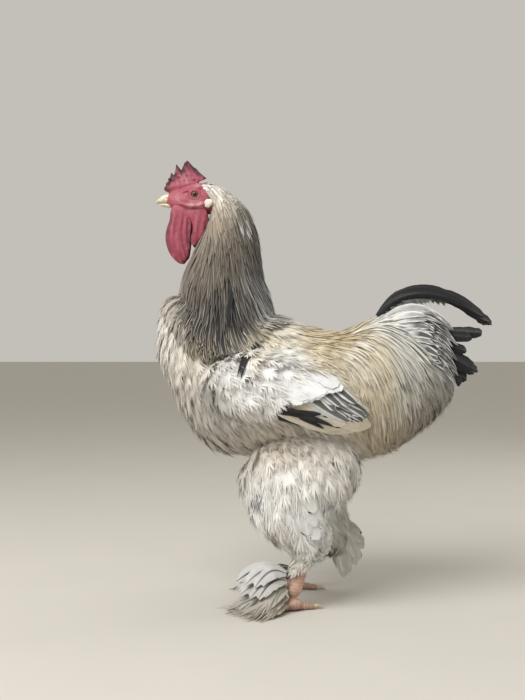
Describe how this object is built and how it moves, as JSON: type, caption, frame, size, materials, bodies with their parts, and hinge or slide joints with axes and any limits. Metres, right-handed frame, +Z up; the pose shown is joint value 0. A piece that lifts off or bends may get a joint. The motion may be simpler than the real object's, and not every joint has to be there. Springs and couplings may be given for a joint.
{
  "type": "brahma chicken",
  "caption": "Life-size standing Brahma cock with serrated comb, long wattles, full striped hackle, saddle feathers, short curved tail and feathered legs and feet.",
  "frame": {"origin": "on the floor, under the middle of the bird's length and width", "axes": "+Z up; the bird faces -X, and its left side, the one the picture shows, is towards -Y"},
  "size_m": [0.5205, 0.2473, 0.68],
  "materials": {
    "plumage": "soft cream and white feathers",
    "hackle": "narrow grey feathers with dark centre stripes",
    "tail_feathers": "black feathers with a faint green sheen",
    "red_skin": "matt red skin with fine bumps",
    "earlobe": "matt pale skin",
    "beak": "smooth yellow horn",
    "eye": "wet brown iris and black pupil",
    "leg_scales": "scaled pinkish yellow skin",
    "claw": "smooth pale horn"
  },
  "bodies": {
    "root": {"torso": "plumage", "rump": "plumage", "wing_left": "plumage", "wing_right": "plumage", "thigh_left": "plumage", "thigh_right": "plumage", "tail": "plumage", "neck": "hackle", "sickle_left": "tail_feathers", "sickle_right": "tail_feathers", "head": "red_skin", "comb": "red_skin", "wattle_left": "red_skin", "wattle_right": "red_skin", "earlobe_left": "earlobe", "earlobe_right": "earlobe", "beak_upper": "beak", "beak_lower": "beak", "eye_left": "eye", "eye_right": "eye", "shank_left": "leg_scales", "shank_right": "leg_scales", "foot_left": "leg_scales", "foot_right": "leg_scales", "claw_left_inner": "claw", "claw_left_middle": "claw", "claw_left_outer": "claw", "claw_left_hind": "claw", "claw_right_inner": "claw", "claw_right_middle": "claw", "claw_right_outer": "claw", "claw_right_hind": "claw"}
  },
  "joints": []
}
